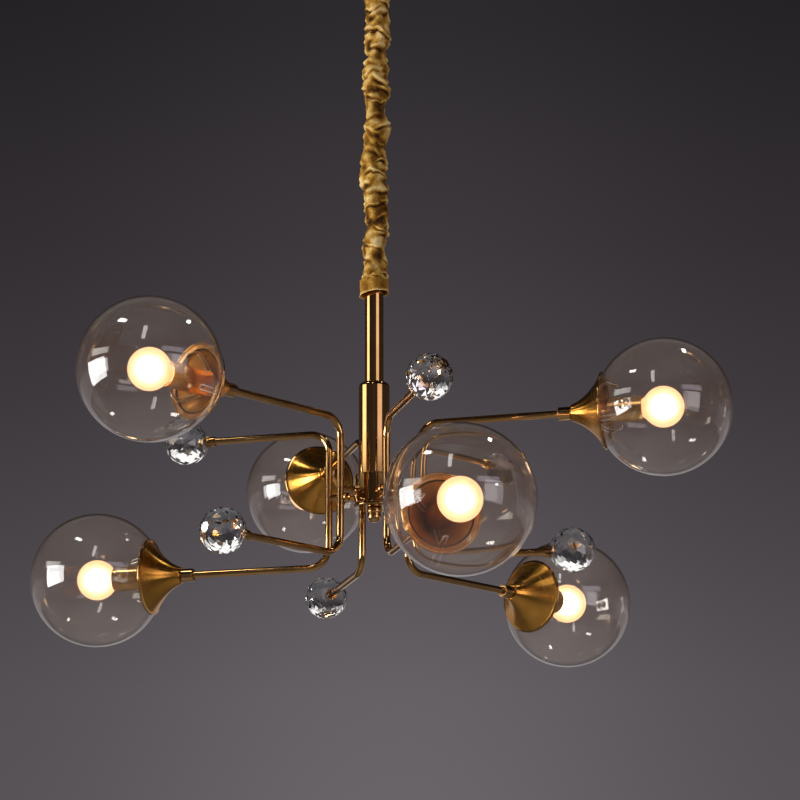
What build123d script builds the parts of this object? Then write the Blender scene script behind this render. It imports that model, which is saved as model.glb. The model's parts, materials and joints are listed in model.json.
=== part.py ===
"""Bubble chandelier: six C-shaped arms, glass globes and crystal balls under a chain in a velvet sleeve."""
import os
from math import cos, pi, radians, sin, sqrt

from build123d import *

os.makedirs("parts", exist_ok=True)

# Driving dimensions in millimetres: the ceiling is z = 0 and the lamp hangs along -Z.

# Layout
drop = 655.0
arm_count = 6
first_arm_azimuth = 15.5
globe_reach = 323.0
crystal_reach = 220.0
globe_rise = 78.0
crystal_drop = 74.0

# Clearances
clear = 0.3
slip = 0.05

# Ceiling fitting
canopy_diameter = 124.0
canopy_height = 32.0
canopy_wall = 1.2
canopy_corner = 12.0
bracket_length = 112.0
bracket_width = 22.0
bracket_tab = 42.0
bracket_thickness = 2.5
ceiling_slot_spacing = 56.0
ceiling_slot_length = 14.0
ceiling_slot_width = 5.5
canopy_screw_spacing = 88.0
canopy_screw_diameter = 4.0
screw_head_diameter = 9.0
screw_head_height = 4.0
screw_head_round = 2.4
loop_shank_diameter = 10.0
loop_shank_bore = 6.0
loop_collar_diameter = 16.0
loop_collar_height = 5.0
loop_nut_width = 17.0
loop_nut_height = 5.0
terminal_length = 32.0
terminal_width = 16.0
terminal_height = 13.0
terminal_poles = 3
terminal_bore = 4.0
terminal_screw_depth = 4.0

# Chain, its end rings and the supply cable
ring_radius = 6.5
ring_wire = 4.0
ring_sink = 1.0
link_wire = 3.0
link_inner_width = 9.0
link_nominal_pitch = 20.0
cable_diameter = 4.4
cable_offset = 6.3
cable_bend = 60.0

# Velvet sleeve
sleeve_top_gap = 7.0
sleeve_stem_cover = 20.0
sleeve_bore_clearance = 0.3
sleeve_puffs = 17
sleeve_peak_diameter = 36.0
sleeve_valley_diameter = 28.5
sleeve_uneven = 1.6
sleeve_tilt = 8.0
sleeve_gather_turn = 137.5
sleeve_cuff_height = 14.0
sleeve_cuff_diameter = 32.0
sleeve_hem_bore = 27.0
sleeve_mouth_bore = 36.0
sleeve_mouth_depth = 60.0
sleeve_mouth_wall = 3.0

# Stem, body tube and hub
stem_diameter = 21.0
stem_wall = 1.0
stem_length = 228.0
stem_cap_height = 4.0
stem_spigot = 8.0
body_tube_diameter = 34.5
body_tube_wall = 1.5
body_tube_length = 106.0
body_tube_shoulder = 5.0
body_tube_plate = 3.5
hub_diameter = 43.0
hub_height = 36.8
hub_wall = 3.0
hub_rise = 4.0
hub_plate = 4.0
hub_edge = 1.5
hub_boss_height = 12.0
hub_boss_bore = 12.4
hub_post_diameter = 7.0
hub_wire_hole = 2.4
hub_wire_holes = 3
hub_cap_lip = 1.0
hub_cap_height = 5.0
hub_cap_spigot = 3.0
finial_stud_diameter = 4.0
finial_stud_grip = 9.0
finial_ring_diameter = 17.0
finial_ring_height = 6.0
finial_knob_diameter = 15.0
finial_knob_height = 10.0
finial_knob_round = 6.0

# Arms and nipples
arm_tube_diameter = 8.0
arm_tube_wall = 1.0
arm_upright_radius = 52.0
arm_bend = 22.0
nipple_diameter = 7.0
nipple_grip = 4.0
nipple_collar_diameter = 12.0
nipple_collar_length = 5.0
nipple_ball_diameter = 10.5
nipple_ball_gap = 1.0
wire_diameter = 3.0
wire_turn = 3.0
wire_tail = 7.0

# Globes and cups
globe_diameter = 150.0
globe_wall = 1.6
globe_mouth_diameter = 73.0
cup_rim_diameter = 85.0
cup_bead_diameter = 2.5
cup_wall = 1.0
cup_depth = 36.5
cup_neck_diameter = 17.0
cup_neck_plate = 2.0
cup_flare_length = 20.0
cup_flare_diameter = 29.0
cup_flare_radius = 38.0
cup_bead_sides = 8
collar_diameter = 14.5
collar_length = 14.0
collar_edge = 0.8
collar_tube_socket = 6.0
clip_thickness = 0.8
clip_width = 6.0
clip_foot_diameter = 30.4
clip_ring_diameter = 20.0
clip_count = 3
clip_bend = 2.5
clip_lead_in_length = 10.0
clip_lead_in_drop = 5.0

# Lamp holders, sleeves and bulbs
holder_diameter = 26.0
holder_length = 51.0
holder_boss_diameter = 13.0
holder_boss_length = 17.0
holder_tail_diameter = 10.0
holder_tail_grip = 7.0
holder_socket_depth = 27.0
lamp_sleeve_wall = 0.8
lamp_sleeve_overhang = 9.0
lamp_sleeve_setback = 1.5
bulb_diameter = 45.0
bulb_wall = 0.9
bulb_neck_diameter = 16.6
bulb_neck_length = 28.0
bulb_neck_blend = 6.0
bulb_collar_diameter = 17.2
bulb_collar_height = 2.5
bulb_collar_gap = 0.5
bulb_cap_diameter = 13.9
bulb_cap_length = 19.0
bulb_tip_diameter = 6.0
bulb_tip_length = 4.0

# Crystals and their caps
crystal_diameter = 49.0
crystal_row_facets = 24
crystal_equator_latitude = 7.5
crystal_middle_latitude = 22.5
crystal_shoulder_latitude = 38.5
crystal_bore_depth = 12.0
cap_post_diameter = 8.0
cap_lobes = 8
cap_lobe_circle = 10.0
cap_lobe_diameter = 3.4
cap_flange_height = 4.0
cap_collar_diameter = 11.2
cap_collar_length = 6.0
cap_tube_socket = 5.0

# Heights and radii that follow from the sizes above
hub_top = -drop + hub_rise + hub_height / 2
hub_bottom = hub_top - hub_height
drum_bottom = hub_bottom + hub_cap_height
stem_top = hub_top + stem_length
stem_radius = stem_diameter / 2
stem_bore_radius = stem_radius - stem_wall
hub_radius = hub_diameter / 2
hub_inner_radius = hub_radius - hub_wall
hub_wire_ring = (hub_post_diameter + hub_boss_bore) / 4
nipple_radius = nipple_diameter / 2
nipple_back = hub_inner_radius - nipple_grip / 2
arm_tube_radius = arm_tube_diameter / 2
ring_wire_radius = ring_wire / 2
ring_outer_radius = ring_radius + ring_wire_radius
link_wire_radius = link_wire / 2
link_bend = link_inner_width / 2 + link_wire_radius
wire_radius = wire_diameter / 2
wire_bore = wire_radius + clear
globe_radius = globe_diameter / 2
holder_radius = holder_diameter / 2

# Places along a globe's axis, measured outwards from the lamp's centre line
bead_radius = cup_bead_diameter / 2
bead_circle = cup_rim_diameter / 2 - bead_radius
rim_x = globe_reach - sqrt((globe_radius + clear + bead_radius) ** 2 - bead_circle**2)
neck_x = rim_x - cup_depth
collar_x = neck_x - collar_length
arm_globe_end = collar_x + collar_tube_socket
tail_x = neck_x - holder_tail_grip
holder_back = neck_x + cup_neck_plate + holder_boss_length
holder_front = holder_back + holder_length
bulb_centre = holder_front + bulb_collar_gap + bulb_collar_height + bulb_neck_length
mouth_x = globe_reach - sqrt(globe_radius**2 - (globe_mouth_diameter / 2) ** 2)
mouth_inner_radius = sqrt((globe_radius - globe_wall) ** 2 - (globe_reach - mouth_x) ** 2)

# Places along a crystal's axis
crystal_radius = crystal_diameter / 2
crystal_back = crystal_reach - crystal_radius
cap_flange_back = crystal_back - cap_flange_height
cap_collar_back = cap_flange_back - cap_collar_length
arm_crystal_end = cap_collar_back + cap_tube_socket

# Axes of the two runs of an arm, in the arm's own frame: X outwards, Y towards the globe's side
globe_axis = Axis((0, globe_rise, 0), (1, 0, 0))
globe_run = Plane(origin=(0, globe_rise, 0))


def arm_frame(index):
    """Frame of one arm: X points outwards and Y to the side of its globe, down and up in turn."""
    azimuth = radians(first_arm_azimuth - index * 360 / arm_count)
    outwards = Vector(sin(azimuth), -cos(azimuth), 0)
    globe_side = Vector(0, 0, 1 if index % 2 else -1)
    return Plane(origin=(0, 0, -drop), x_dir=outwards, z_dir=outwards.cross(globe_side))


arm_frames = [arm_frame(index) for index in range(arm_count)]


def save(piece, name):
    """Label a finished piece and write it to its own file."""
    piece.label = name
    export_step(piece, f"parts/{name}.step")


def save_each(master, name):
    """Place one copy of an arm's piece on every arm, each in a file of its own."""
    for number, frame in enumerate(arm_frames, 1):
        with BuildPart(frame) as placed:
            add(master.part)
        save(placed.part, f"{name}_{number}")


def save_group(master, name):
    """Place one copy of an arm's piece on every arm, all in one file."""
    with BuildPart() as placed:
        with Locations(*arm_frames):
            add(master.part)
    save(placed.part, name)


# Mounting bracket on the ceiling
bracket_hole = loop_shank_diameter / 2 + slip
screw_hole = canopy_screw_diameter / 2 + slip
with BuildPart() as mounting_bracket:
    with BuildSketch(Plane.XY.offset(-bracket_thickness)):
        SlotOverall(bracket_length, bracket_width)
        with Locations((0, bracket_tab / 2)):
            Rectangle(bracket_width, bracket_tab)
        Circle(bracket_hole, mode=Mode.SUBTRACT)
        with GridLocations(ceiling_slot_spacing, 0, 2, 1):
            SlotOverall(ceiling_slot_length, ceiling_slot_width, mode=Mode.SUBTRACT)
        with GridLocations(canopy_screw_spacing, 0, 2, 1):
            Circle(screw_hole, mode=Mode.SUBTRACT)
    extrude(amount=bracket_thickness)
save(mounting_bracket.part, "mounting_bracket")

# Canopy: a spun dish with its rim on the ceiling
with BuildPart() as canopy:
    with BuildSketch(Plane.XY.offset(-canopy_height)):
        Circle(canopy_diameter / 2)
    extrude(amount=canopy_height)
    fillet(canopy.edges().group_by(Axis.Z)[0], canopy_corner)
    offset(amount=-canopy_wall, openings=canopy.faces().sort_by(Axis.Z)[-1])
    with BuildSketch(Plane.XY.offset(-canopy_height)):
        Circle(bracket_hole)
        with GridLocations(canopy_screw_spacing, 0, 2, 1):
            Circle(canopy_screw_diameter / 2 + clear)
    extrude(amount=canopy_wall, mode=Mode.SUBTRACT)
save(canopy.part, "canopy")

# Screws that hold the canopy up to the bracket
with BuildPart() as canopy_screws:
    with BuildSketch(Plane.XY.offset(-canopy_height)):
        with GridLocations(canopy_screw_spacing, 0, 2, 1):
            Circle(canopy_screw_diameter / 2)
    extrude(amount=canopy_height - slip)
    with BuildSketch(Plane.XY.offset(-canopy_height)):
        with GridLocations(canopy_screw_spacing, 0, 2, 1):
            Circle(screw_head_diameter / 2)
    extrude(amount=-screw_head_height)
    fillet(canopy_screws.edges().group_by(Axis.Z)[0], screw_head_round)
save(canopy_screws.part, "canopy_screws")

# Loop under the canopy, with a hollow shank up to the bracket
loop_collar_bottom = -canopy_height - loop_collar_height
canopy_ring_centre = loop_collar_bottom - ring_outer_radius + ring_sink
with BuildPart() as canopy_loop:
    with BuildSketch(Plane.XY.offset(-canopy_height)):
        Circle(loop_shank_diameter / 2)
        Circle(loop_shank_bore / 2, mode=Mode.SUBTRACT)
    extrude(amount=canopy_height - slip)
    with BuildSketch(Plane.XY.offset(loop_collar_bottom)):
        Circle(loop_collar_diameter / 2)
    extrude(amount=loop_collar_height)
    with Locations((0, 0, canopy_ring_centre)):
        Torus(ring_radius, ring_wire_radius, rotation=(90, 0, 0))
save(canopy_loop.part, "canopy_loop")

# Nut that clamps the shank under the bracket
with BuildPart() as loop_nut:
    with BuildSketch(Plane.XY.offset(-bracket_thickness)):
        RegularPolygon(loop_nut_width / 2, 6, major_radius=False)
        Circle(bracket_hole, mode=Mode.SUBTRACT)
    extrude(amount=-loop_nut_height)
save(loop_nut.part, "loop_nut")

# Terminal block under the bracket's tab
terminal_pitch = terminal_length / terminal_poles
terminal_y = bracket_tab - terminal_width / 2
with BuildPart() as terminal_block:
    with BuildSketch(Plane.XY.offset(-bracket_thickness)):
        with Locations((0, terminal_y)):
            Rectangle(terminal_length, terminal_width)
    extrude(amount=-terminal_height)
    with BuildSketch(Plane.XZ.offset(-terminal_y - terminal_width / 2)):
        with Locations((0, -bracket_thickness - terminal_height / 2)):
            with GridLocations(terminal_pitch, 0, terminal_poles, 1):
                Circle(terminal_bore / 2)
    extrude(amount=terminal_width, mode=Mode.SUBTRACT)
    with BuildSketch(Plane.XY.offset(-bracket_thickness - terminal_height)):
        with Locations((0, terminal_y)):
            with GridLocations(terminal_pitch, terminal_width / 2, terminal_poles, 2):
                Circle(terminal_bore / 2)
    extrude(amount=terminal_screw_depth, mode=Mode.SUBTRACT)
save(terminal_block.part, "terminal_block")

# Chain: as many links as fit between the two rings, each resting in the one above
canopy_hook = canopy_ring_centre - ring_radius + ring_wire_radius + clear
stem_ring_centre = stem_top + stem_cap_height + ring_outer_radius - ring_sink
stem_hook = stem_ring_centre + ring_radius - ring_wire_radius
link_count = round((canopy_hook - stem_hook) / link_nominal_pitch)
link_pitch = (canopy_hook - stem_hook) / link_count
link_inner_length = link_pitch + clear
link_straight = (link_inner_length - link_inner_width) / 2

with BuildPart() as link:
    with BuildLine(Plane.XZ):
        Line((link_bend, -link_straight), (link_bend, link_straight))
        ThreePointArc(
            (link_bend, link_straight), (0, link_straight + link_bend), (-link_bend, link_straight)
        )
        Line((-link_bend, link_straight), (-link_bend, -link_straight))
        ThreePointArc(
            (-link_bend, -link_straight), (0, -link_straight - link_bend), (link_bend, -link_straight)
        )
    with BuildSketch(Plane((link_bend, 0, -link_straight))):
        Circle(link_wire_radius)
    sweep()


def link_location(index):
    """Place of one link: the links hang edge on and flat in turn."""
    centre = canopy_hook - index * link_pitch - link_inner_length / 2
    return Location((0, 0, centre), (0, 0, 0 if index % 2 else 90))


with BuildPart() as chain_link_top:
    with Locations(link_location(0)):
        add(link.part)
save(chain_link_top.part, "chain_link_top")

with BuildPart() as chain_link_second:
    with Locations(link_location(1)):
        add(link.part)
save(chain_link_second.part, "chain_link_second")

with BuildPart() as chain:
    with Locations(*[link_location(index) for index in range(2, link_count)]):
        add(link.part)
save(chain.part, "chain")

# Supply cable beside the chain, through the stem's cap and down to the hub
cable_side = cable_offset / sqrt(2)
cable_top = canopy_hook - 2 * link_pitch - link_inner_length / 2
cable_bend_start = stem_top - stem_spigot - cable_bend / 2
with BuildPart() as power_cable:
    with BuildLine():
        FilletPolyline(
            (cable_side, cable_side, cable_top),
            (cable_side, cable_side, cable_bend_start),
            (0, 0, cable_bend_start - cable_bend),
            (0, 0, hub_top + slip),
            radius=cable_bend,
        )
    with BuildSketch(Plane((cable_side, cable_side, cable_top))):
        Circle(cable_diameter / 2)
    sweep()
save(power_cable.part, "power_cable")

# Velvet sleeve: slanting gathers on a bore that grips the stem, open wider at both ends
sleeve_top = -canopy_height - sleeve_top_gap
sleeve_bottom = stem_top - sleeve_stem_cover
sleeve_bore = stem_radius + sleeve_bore_clearance
sleeve_flare = sleeve_mouth_bore / 2 - sleeve_bore
sleeve_mouth_radius = sleeve_mouth_bore / 2 + sleeve_mouth_wall
gather_bottom = sleeve_bottom + sleeve_cuff_height
gather_step = (sleeve_top - gather_bottom) / (2 * sleeve_puffs + 1)
gather_turn = radians(sleeve_gather_turn)


def gather_height(index):
    """Height of one fold or hollow of the gathers."""
    return gather_bottom + (index + 1) * gather_step


def gather_radius(index):
    """Outer radius at one fold or hollow, a little uneven and wider round the open mouth."""
    diameter = sleeve_valley_diameter if index % 2 else sleeve_peak_diameter
    above_throat = gather_height(index) - sleeve_top + sleeve_mouth_depth
    widening = sleeve_flare * max(0, above_throat / sleeve_mouth_depth)
    return diameter / 2 + sleeve_uneven * sin(index * gather_turn / 2) + widening


def gather_plane(index):
    """Plane of one fold or hollow: its tilt turns from fold to fold."""
    tilt = sin(radians(sleeve_tilt))
    turn = index * gather_turn
    normal = Vector(tilt * cos(turn), tilt * sin(turn), 1)
    return Plane(
        origin=(0, 0, gather_height(index)), x_dir=Vector(0, 1, 0).cross(normal), z_dir=normal
    )


with BuildPart() as velvet_sleeve:
    with BuildSketch(Plane.XY.offset(sleeve_bottom)):
        Circle(sleeve_cuff_diameter / 2)
    with BuildSketch(Plane.XY.offset(gather_bottom)):
        Circle(sleeve_valley_diameter / 2)
    for fold in range(2 * sleeve_puffs):
        with BuildSketch(gather_plane(fold)):
            Circle(gather_radius(fold))
    with BuildSketch(Plane.XY.offset(sleeve_top)):
        Circle(sleeve_mouth_radius)
    loft(ruled=True)
    with BuildSketch(Plane.XZ):
        with BuildLine():
            Polyline(
                (0, sleeve_bottom),
                (sleeve_hem_bore / 2, sleeve_bottom),
                (sleeve_bore, sleeve_bottom + sleeve_cuff_height / 2),
                (sleeve_bore, sleeve_top - sleeve_mouth_depth),
                (sleeve_mouth_bore / 2, sleeve_top),
                (0, sleeve_top),
                close=True,
            )
        make_face()
    revolve(axis=Axis.Z, mode=Mode.SUBTRACT)
save(velvet_sleeve.part, "velvet_sleeve")

# Cap and ring on top of the stem, turned square to the last link
stem_ring_turn = (90, 0, 0) if link_count % 2 else (90, 0, 90)
with BuildPart() as stem_loop:
    with BuildSketch(Plane.XY.offset(stem_top)):
        Circle(stem_radius)
    extrude(amount=stem_cap_height)
    with BuildSketch(Plane.XY.offset(stem_top)):
        Circle(stem_bore_radius - slip)
    extrude(amount=-stem_spigot)
    with BuildSketch(Plane.XY.offset(stem_top - stem_spigot)):
        with Locations((cable_side, cable_side)):
            Circle(cable_diameter / 2 + slip)
    extrude(amount=stem_spigot + stem_cap_height, mode=Mode.SUBTRACT)
    with Locations((0, 0, stem_ring_centre)):
        Torus(ring_radius, ring_wire_radius, rotation=stem_ring_turn)
save(stem_loop.part, "stem_loop")

# Stem tube, from the hub up into the sleeve
with BuildPart() as stem:
    with BuildSketch(Plane.XY.offset(hub_top)):
        Circle(stem_radius)
        Circle(stem_bore_radius, mode=Mode.SUBTRACT)
    extrude(amount=stem_length)
save(stem.part, "stem")

# Body tube around the stem, with a rounded shoulder
with BuildPart() as body_tube:
    with BuildSketch(Plane.XY.offset(hub_top)):
        Circle(body_tube_diameter / 2)
    extrude(amount=body_tube_length)
    fillet(body_tube.edges().group_by(Axis.Z)[-1], body_tube_shoulder)
    with BuildSketch(Plane.XY.offset(hub_top)):
        Circle(body_tube_diameter / 2 - body_tube_wall)
    extrude(amount=body_tube_length - body_tube_plate, mode=Mode.SUBTRACT)
    with BuildSketch(Plane.XY.offset(hub_top)):
        Circle(stem_radius + slip)
    extrude(amount=body_tube_length, mode=Mode.SUBTRACT)
save(body_tube.part, "body_tube")

# Hub drum: nipple holes round its wall, a boss for the stem and a post for the finial
cap_spigot_top = drum_bottom + hub_cap_spigot
with BuildPart() as hub:
    with BuildSketch(Plane.XY.offset(drum_bottom)):
        Circle(hub_radius)
    extrude(amount=hub_top - drum_bottom)
    fillet(hub.edges().group_by(Axis.Z)[-1], hub_edge)
    with BuildSketch(Plane.XY.offset(drum_bottom)):
        Circle(hub_inner_radius)
    extrude(amount=hub_top - hub_plate - drum_bottom, mode=Mode.SUBTRACT)
    with BuildSketch(Plane.XY.offset(hub_top)):
        Circle(stem_bore_radius - slip)
        Circle(hub_boss_bore / 2, mode=Mode.SUBTRACT)
    extrude(amount=hub_boss_height)
    with BuildSketch(Plane.XY.offset(cap_spigot_top)):
        Circle(hub_post_diameter / 2)
    extrude(amount=hub_top - hub_plate - cap_spigot_top)
    with BuildSketch(Plane.XY.offset(cap_spigot_top)):
        Circle(finial_stud_diameter / 2 + slip)
    extrude(amount=finial_stud_grip, mode=Mode.SUBTRACT)
    with BuildSketch(Plane.XY.offset(hub_top - hub_plate)):
        with PolarLocations(hub_wire_ring, hub_wire_holes):
            Circle(hub_wire_hole / 2)
    extrude(amount=hub_plate, mode=Mode.SUBTRACT)
    with Locations(*arm_frames):
        with Locations((nipple_back, 0, 0)):
            Cylinder(
                nipple_radius + slip,
                hub_radius,
                rotation=(0, 90, 0),
                align=(Align.CENTER, Align.CENTER, Align.MIN),
                mode=Mode.SUBTRACT,
            )
save(hub.part, "hub")

# Hub cap with a proud lip and a spigot up into the drum
with BuildPart() as hub_cap:
    with BuildSketch(Plane.XY.offset(hub_bottom)):
        Circle(hub_radius + hub_cap_lip)
    extrude(amount=hub_cap_height)
    fillet(hub_cap.edges(), hub_edge)
    with BuildSketch(Plane.XY.offset(drum_bottom)):
        Circle(hub_inner_radius - slip)
    extrude(amount=hub_cap_spigot)
    with BuildSketch(Plane.XY.offset(hub_bottom)):
        Circle(finial_stud_diameter / 2 + slip)
    extrude(amount=hub_cap_height + hub_cap_spigot, mode=Mode.SUBTRACT)
save(hub_cap.part, "hub_cap")

# Finial: a stud, a ring and a rounded knob turned from one bar
finial_ring_bottom = hub_bottom - finial_ring_height
finial_stud_top = cap_spigot_top + finial_stud_grip - slip
with BuildPart() as finial:
    with BuildSketch(Plane.XY.offset(hub_bottom)):
        Circle(finial_ring_diameter / 2)
    extrude(amount=-finial_ring_height)
    fillet(finial.edges(), hub_edge)
    with BuildSketch(Plane.XY.offset(finial_ring_bottom)):
        Circle(finial_knob_diameter / 2)
    extrude(amount=-finial_knob_height)
    fillet(finial.edges().group_by(Axis.Z)[0], finial_knob_round)
    with BuildSketch(Plane.XY.offset(hub_bottom)):
        Circle(finial_stud_diameter / 2)
    extrude(amount=finial_stud_top - hub_bottom)
save(finial.part, "finial")

# Arm: one tube bent into a C, with a hole for its wire opposite the nipple
with BuildPart() as arm:
    with BuildLine():
        FilletPolyline(
            (arm_crystal_end, -crystal_drop),
            (arm_upright_radius, -crystal_drop),
            (arm_upright_radius, globe_rise),
            (arm_globe_end, globe_rise),
            radius=arm_bend,
        )
    with BuildSketch(Plane((arm_crystal_end, -crystal_drop, 0), z_dir=(-1, 0, 0))):
        Circle(arm_tube_radius)
        Circle(arm_tube_radius - arm_tube_wall, mode=Mode.SUBTRACT)
    sweep()
    with BuildSketch(Plane.YZ.offset(arm_upright_radius - arm_tube_diameter)):
        Circle(wire_bore)
    extrude(amount=arm_tube_diameter, mode=Mode.SUBTRACT)
save_each(arm, "arm")

# Nipple: a collar against the hub, a small ball and a saddle that fits the arm
nipple_collar_end = hub_radius + nipple_collar_length
ball_radius = nipple_ball_diameter / 2
ball_reach = sqrt(ball_radius**2 - nipple_radius**2)
ball_x = nipple_collar_end + nipple_ball_gap + ball_reach
with BuildPart() as arm_nipple:
    with BuildSketch():
        with BuildLine():
            Polyline(
                (nipple_back, nipple_radius),
                (hub_radius, nipple_radius),
                (hub_radius, nipple_collar_diameter / 2),
                (nipple_collar_end, nipple_collar_diameter / 2),
                (nipple_collar_end, nipple_radius),
                (ball_x - ball_reach, nipple_radius),
            )
            ThreePointArc(
                (ball_x - ball_reach, nipple_radius),
                (ball_x, ball_radius),
                (ball_x + ball_reach, nipple_radius),
            )
            Polyline(
                (ball_x + ball_reach, nipple_radius),
                (arm_upright_radius, nipple_radius),
                (arm_upright_radius, wire_bore),
                (nipple_back, wire_bore),
                (nipple_back, nipple_radius),
            )
        make_face()
    revolve(axis=Axis.X)
    with Locations((arm_upright_radius, 0, 0)):
        Cylinder(arm_tube_radius + slip, arm_tube_diameter * 2, rotation=(90, 0, 0), mode=Mode.SUBTRACT)
save_group(arm_nipple, "arm_nipples")

# Wire inside the arm, from the hub to the lamp holder
wire_start = hub_inner_radius - wire_tail
wire_end = holder_front - holder_socket_depth
with BuildPart() as lamp_wire:
    with BuildLine():
        FilletPolyline(
            (wire_start, 0),
            (arm_upright_radius, 0),
            (arm_upright_radius, globe_rise),
            (wire_end, globe_rise),
            radius=[wire_turn, arm_bend],
        )
    with BuildSketch(Plane((wire_start, 0, 0), z_dir=(1, 0, 0))):
        Circle(wire_radius)
    sweep()
save_group(lamp_wire, "lamp_wires")

# Cup: a trumpet of spun sheet from its neck out to a beaded rim
with BuildPart() as cup:
    with BuildSketch(globe_run):
        with BuildLine():
            FilletPolyline(
                (neck_x, cup_neck_diameter / 2),
                (neck_x + cup_flare_length, cup_flare_diameter / 2),
                (rim_x, bead_circle),
                radius=cup_flare_radius,
            )
            offset(amount=cup_wall, side=Side.LEFT)
        make_face()
        with Locations((rim_x, bead_circle)):
            RegularPolygon(bead_radius, cup_bead_sides)
        with Locations((neck_x, holder_tail_diameter / 2 + slip)):
            Rectangle(
                cup_neck_plate,
                (cup_neck_diameter + cup_wall - holder_tail_diameter) / 2,
                align=(Align.MIN, Align.MIN),
            )
    revolve(axis=globe_axis)
save_each(cup, "cup")

# Collar between the arm's end and the cup
with BuildPart() as cup_collar:
    with BuildSketch(Plane.YZ.offset(collar_x)):
        with Locations((globe_rise, 0)):
            Circle(collar_diameter / 2)
    extrude(amount=collar_length)
    fillet(cup_collar.edges(), collar_edge)
    with BuildSketch(Plane.YZ.offset(collar_x)):
        with Locations((globe_rise, 0)):
            Circle(arm_tube_radius + slip)
    extrude(amount=collar_length, mode=Mode.SUBTRACT)
    with BuildSketch(Plane.YZ.offset(tail_x - slip)):
        with Locations((globe_rise, 0)):
            Circle(holder_tail_diameter / 2 + slip)
    extrude(amount=holder_tail_grip + slip, mode=Mode.SUBTRACT)
save_group(cup_collar, "cup_collars")

# Lamp holder: a socket on a boss, with a hollow tail through the cup's neck
socket_radius = bulb_cap_diameter / 2 + 2 * slip
with BuildPart() as lamp_holder:
    with BuildSketch(globe_run):
        with BuildLine():
            Polyline(
                (tail_x, wire_bore),
                (tail_x, holder_tail_diameter / 2),
                (neck_x + cup_neck_plate, holder_tail_diameter / 2),
                (neck_x + cup_neck_plate, holder_boss_diameter / 2),
                (holder_back, holder_boss_diameter / 2),
                (holder_back, holder_radius),
                (holder_front, holder_radius),
                (holder_front, socket_radius),
                (holder_front - holder_socket_depth, socket_radius),
                (holder_front - holder_socket_depth, wire_bore),
                close=True,
            )
        make_face()
    revolve(axis=globe_axis)
save_group(lamp_holder, "lamp_holders")

# Brass sleeve over the lamp holder
with BuildPart() as lamp_sleeve:
    with BuildSketch(globe_run):
        with Locations((holder_back + lamp_sleeve_setback, holder_radius + slip)):
            Rectangle(
                holder_length - lamp_sleeve_setback + lamp_sleeve_overhang,
                lamp_sleeve_wall,
                align=(Align.MIN, Align.MIN),
            )
    revolve(axis=globe_axis)
save_each(lamp_sleeve, "lamp_sleeve")

# Spring clip: a washer behind the holder with bent leaves that grip the globe's mouth
clip_plane_x = holder_back - clip_thickness / 2
clip_grip = mouth_inner_radius - clear - clip_thickness
clip_foot = clip_foot_diameter / 2
with BuildPart() as leaf:
    with BuildSketch(globe_run):
        with BuildLine():
            FilletPolyline(
                (clip_plane_x, clip_ring_diameter / 2 - clip_thickness),
                (clip_plane_x, clip_foot),
                (mouth_x - clip_bend, clip_grip - clip_bend),
                (mouth_x + clip_bend, clip_grip),
                (mouth_x + clip_lead_in_length, clip_grip - clip_lead_in_drop),
                radius=clip_bend,
            )
        trace(line_width=clip_thickness)
    extrude(amount=clip_width / 2, both=True)

with BuildPart() as globe_clip:
    with BuildSketch(Plane.YZ.offset(holder_back)):
        with Locations((globe_rise, 0)):
            Circle(clip_ring_diameter / 2)
            Circle(holder_boss_diameter / 2 + slip, mode=Mode.SUBTRACT)
    extrude(amount=-clip_thickness)
    for turn in range(clip_count):
        add(leaf.part.rotate(globe_axis, turn * 360 / clip_count))
save_group(globe_clip, "globe_clips")

# Globe: a thin glass ball with a ground mouth
globe_inner = globe_radius - globe_wall
with BuildPart() as globe:
    with BuildSketch(globe_run):
        with Locations((globe_reach, 0)):
            Circle(globe_radius)
            Circle(globe_inner, mode=Mode.SUBTRACT)
        with Locations((mouth_x, 0)):
            Rectangle(
                2 * globe_diameter,
                globe_diameter,
                align=(Align.MIN, Align.MIN),
                mode=Mode.INTERSECT,
            )
    revolve(axis=globe_axis)
save_each(globe, "globe")

# Bulb: a round glass envelope cemented to a screw cap
bulb_radius = bulb_diameter / 2
bulb_neck = bulb_neck_diameter / 2
cap_front = bulb_centre - bulb_neck_length
shoulder = bulb_radius / sqrt(2)
cap_seat = cap_front - bulb_collar_height
cap_back = cap_seat - bulb_cap_length
with BuildPart() as envelope:
    with BuildSketch(globe_run):
        with BuildLine():
            ThreePointArc(
                (bulb_centre + bulb_radius, 0),
                (bulb_centre, bulb_radius),
                (bulb_centre - shoulder, shoulder),
            )
            FilletPolyline(
                (bulb_centre - shoulder, shoulder),
                (bulb_centre - 2 * shoulder + bulb_neck, bulb_neck),
                (cap_front, bulb_neck),
                radius=bulb_neck_blend,
            )
            Line((cap_front, bulb_neck), (cap_front, 0))
            Line((cap_front, 0), (bulb_centre + bulb_radius, 0))
        make_face()
    revolve(axis=globe_axis)
    offset(amount=-bulb_wall, openings=envelope.faces().sort_by(Axis.X)[0])

with BuildPart() as screw_cap:
    with BuildSketch(globe_run):
        with BuildLine():
            Polyline(
                (cap_front, 0),
                (cap_front, bulb_collar_diameter / 2),
                (cap_seat, bulb_collar_diameter / 2),
                (cap_seat, bulb_cap_diameter / 2),
                (cap_back, bulb_cap_diameter / 2),
                (cap_back - bulb_tip_length, bulb_tip_diameter / 2),
                (cap_back - bulb_tip_length, 0),
                close=True,
            )
        make_face()
    revolve(axis=globe_axis)

for number, frame in enumerate(arm_frames, 1):
    bulb_pieces = [solid.moved(frame.location) for solid in (envelope.part.solid(), screw_cap.part.solid())]
    save(Compound(children=bulb_pieces), f"bulb_{number}")

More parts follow.
